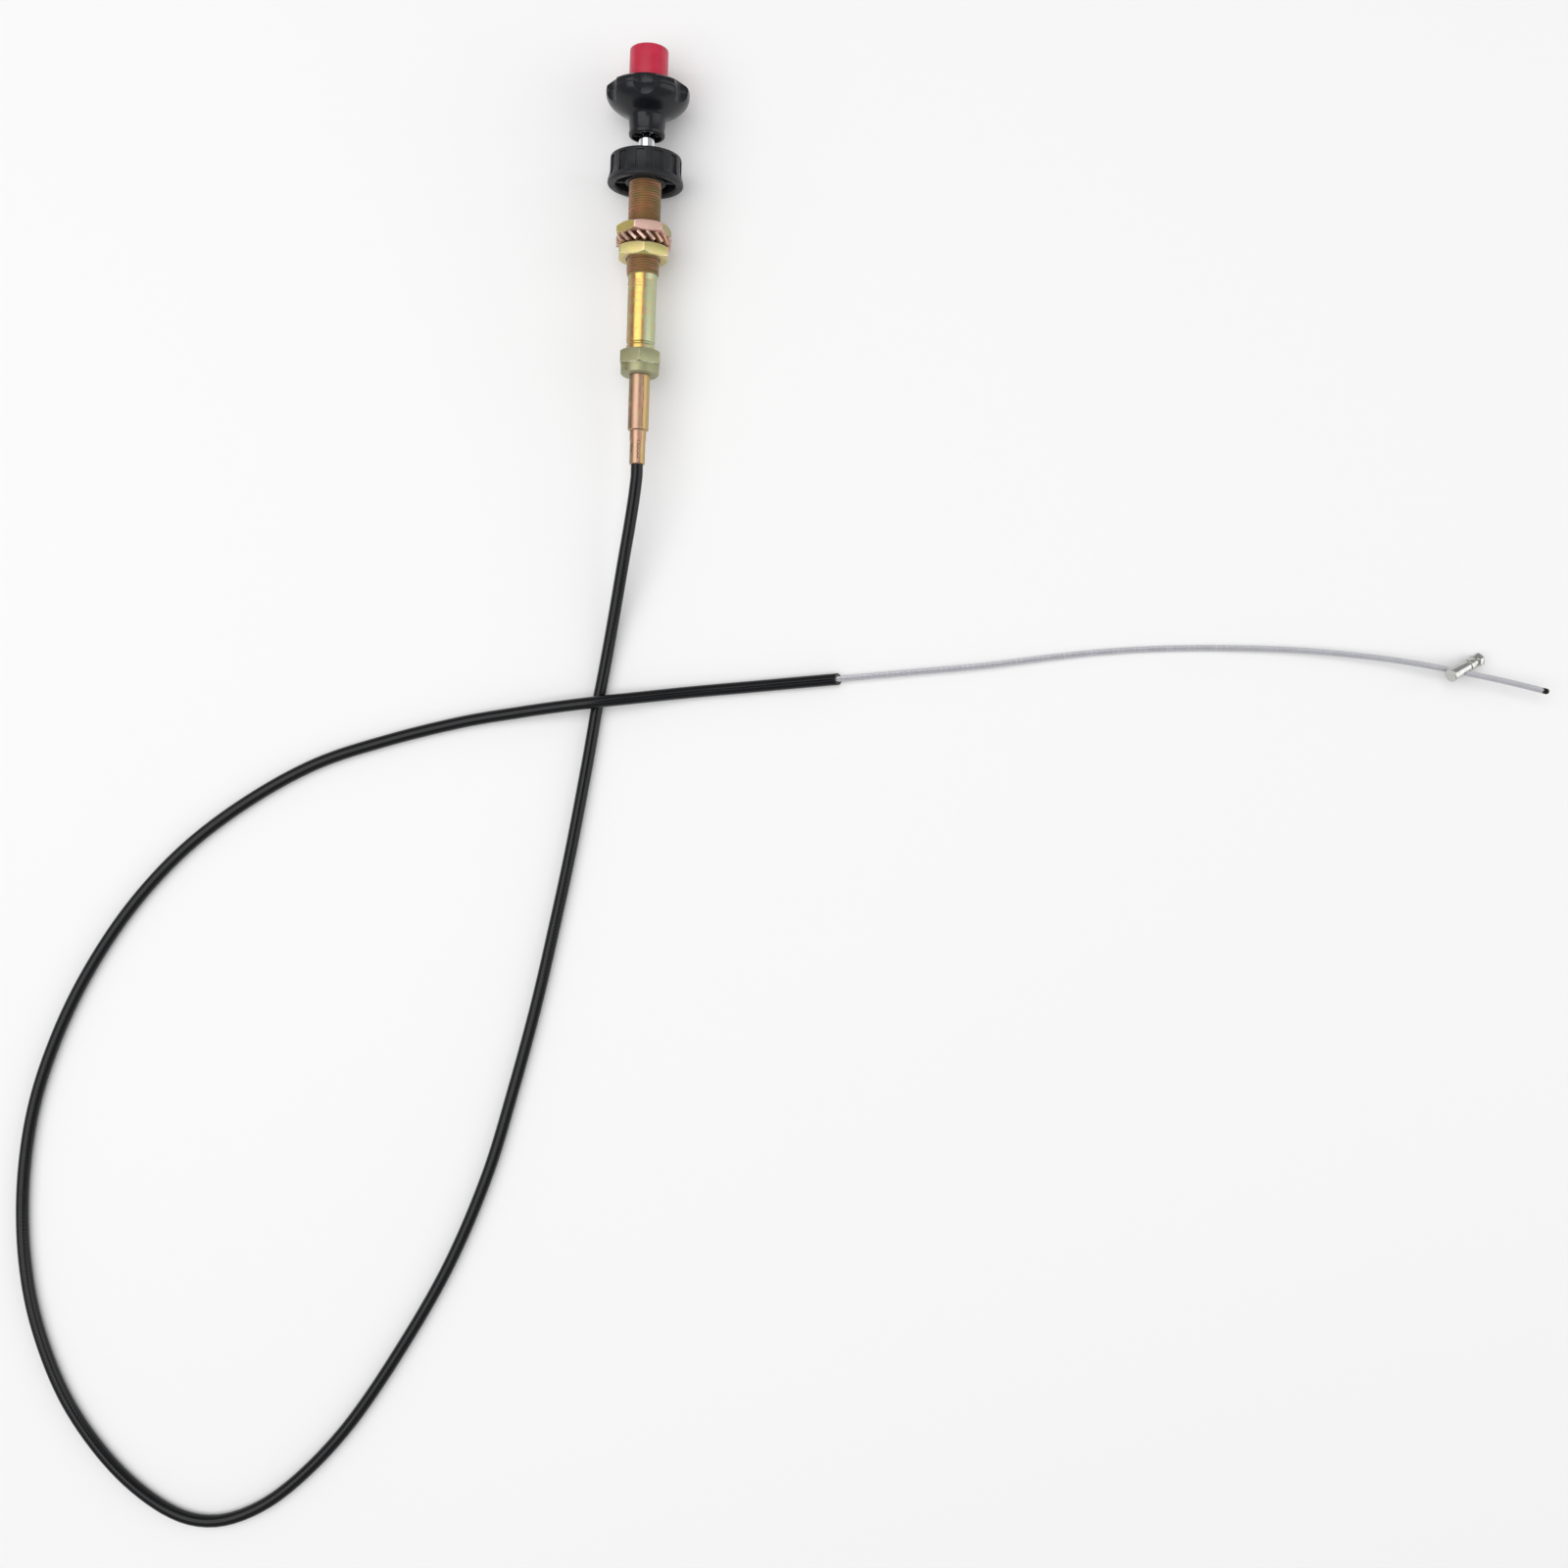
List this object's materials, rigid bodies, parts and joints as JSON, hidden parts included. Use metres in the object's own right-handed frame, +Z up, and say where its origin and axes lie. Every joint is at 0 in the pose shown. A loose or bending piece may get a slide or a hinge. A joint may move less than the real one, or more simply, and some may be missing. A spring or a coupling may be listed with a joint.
{
  "type": "push-pull control cable",
  "caption": "Push-pull control cable with a lobed knob and red lock button, threaded panel hub, friction nut, long black conduit and a steel core wire with a barrel clamp.",
  "frame": {"origin": "bottom centre of the head's bounding box: on the plane that the object lies on, under the head's axis, at the middle of the head's length", "axes": "+Y along the head's axis from the ferrule to the knob, +Z up from the plane that the object lies on, +X to the right seen from above with the knob away from the viewer"},
  "size_m": [0.758, 0.7411, 0.0393],
  "materials": {
    "zinc_gold": "yellow zinc plate, satin",
    "zinc_pink": "yellow zinc plate, satin, pinkish",
    "zinc_olive": "yellow zinc plate, dull olive",
    "zinc_rose": "yellow zinc plate, satin, rose tan",
    "bronze": "turned",
    "seal_rubber": "matte",
    "conduit_black": "glossy extruded",
    "coil_steel": "wound, dull",
    "liner_plastic": "smooth",
    "plain_steel": "turned",
    "wire_steel": "galvanised strand",
    "knob_black": "satin moulded",
    "shaft_chrome": "polished",
    "button_red": "satin moulded",
    "friction_black": "satin moulded",
    "tip_dark": "burnt",
    "clamp_steel": "polished nickel plate"
  },
  "bodies": {
    "hub_body": {"hub_tube": "zinc_gold", "guide_bush": "bronze", "upper_panel_nut": "zinc_pink", "gland_nut": "zinc_olive", "ferrule": "zinc_rose", "ferrule_seal": "seal_rubber", "conduit": "conduit_black", "conduit_inlet": "conduit_black", "conduit_jacket_end": "conduit_black", "conduit_coil_end": "coil_steel", "conduit_liner_end": "liner_plastic"},
    "core_slider": {"wire_swivel": "plain_steel", "core_wire_inner": "wire_steel"},
    "knob_body": {"knob": "knob_black", "knob_cover": "knob_black", "knob_insert": "bronze", "shaft": "shaft_chrome", "shaft_end_cap": "plain_steel", "stop_ring": "plain_steel", "button_spring": "plain_steel"},
    "button_body": {"button": "button_red", "release_pin": "plain_steel"},
    "left_ball_body": {"lock_ball_left": "shaft_chrome"},
    "right_ball_body": {"lock_ball_right": "shaft_chrome"},
    "friction_slider": {"friction_ring": "liner_plastic"},
    "friction_nut_body": {"friction_nut": "friction_black"},
    "washer_body": {"lock_washer": "zinc_pink"},
    "lower_nut_body": {"lower_panel_nut": "zinc_gold"},
    "wire_body": {"core_wire": "wire_steel", "wire_tip": "tip_dark", "clamp_barrel": "clamp_steel", "clamp_screw": "clamp_steel", "clamp_collar": "clamp_steel"}
  },
  "joints": [
    {"name": "core_slide", "type": "slide", "parent": "hub_body", "child": "core_slider", "axis": [0, 1, 0], "range_m": [-0.009, 0.06]},
    {"name": "knob_turn", "type": "hinge", "parent": "core_slider", "child": "knob_body", "pos_m": [0, 0, 0.01966], "axis": [0, 1, 0], "continuous": true},
    {"name": "button_press", "type": "slide", "parent": "knob_body", "child": "button_body", "axis": [0, -1, 0], "range_m": [0, 0.006], "stiffness_N_per_m": 700, "springref_m": -0.004, "deforming": ["button_spring"]},
    {"name": "left_ball_slide", "type": "slide", "parent": "knob_body", "child": "left_ball_body", "axis": [1, 0, 0], "range_m": [0, 0.00105]},
    {"name": "right_ball_slide", "type": "slide", "parent": "knob_body", "child": "right_ball_body", "axis": [-1, 0, 0], "range_m": [0, 0.00105]},
    {"name": "friction_lift", "type": "slide", "parent": "hub_body", "child": "friction_slider", "axis": [0, 1, 0], "range_m": [0, 0.0025]},
    {"name": "friction_turn", "type": "hinge", "parent": "friction_slider", "child": "friction_nut_body", "pos_m": [0, 0.0417, 0.01966], "axis": [0, 1, 0], "range_deg": [0, 721]},
    {"name": "washer_slide", "type": "slide", "parent": "hub_body", "child": "washer_body", "axis": [0, 1, 0], "range_m": [-0.005, 0]},
    {"name": "lower_nut_turn", "type": "hinge", "parent": "washer_body", "child": "lower_nut_body", "pos_m": [0, 0.00145, 0.01966], "axis": [0, 1, 0], "range_deg": [-1441, 0]},
    {"name": "wire_slide", "type": "slide", "parent": "hub_body", "child": "wire_body", "axis": [-0.9929, -0.1191, 0], "range_m": [-0.0091, 0.0601]}
  ],
  "couplings": [
    {"joint": "wire_slide", "follows": "core_slide", "ratio": 1},
    {"joint": "left_ball_slide", "follows": "button_press", "ratio": 0.17},
    {"joint": "right_ball_slide", "follows": "button_press", "ratio": 0.17},
    {"joint": "friction_turn", "follows": "friction_lift", "rad_per_m": 5026.5},
    {"joint": "lower_nut_turn", "follows": "washer_slide", "rad_per_m": 5026.5}
  ]
}
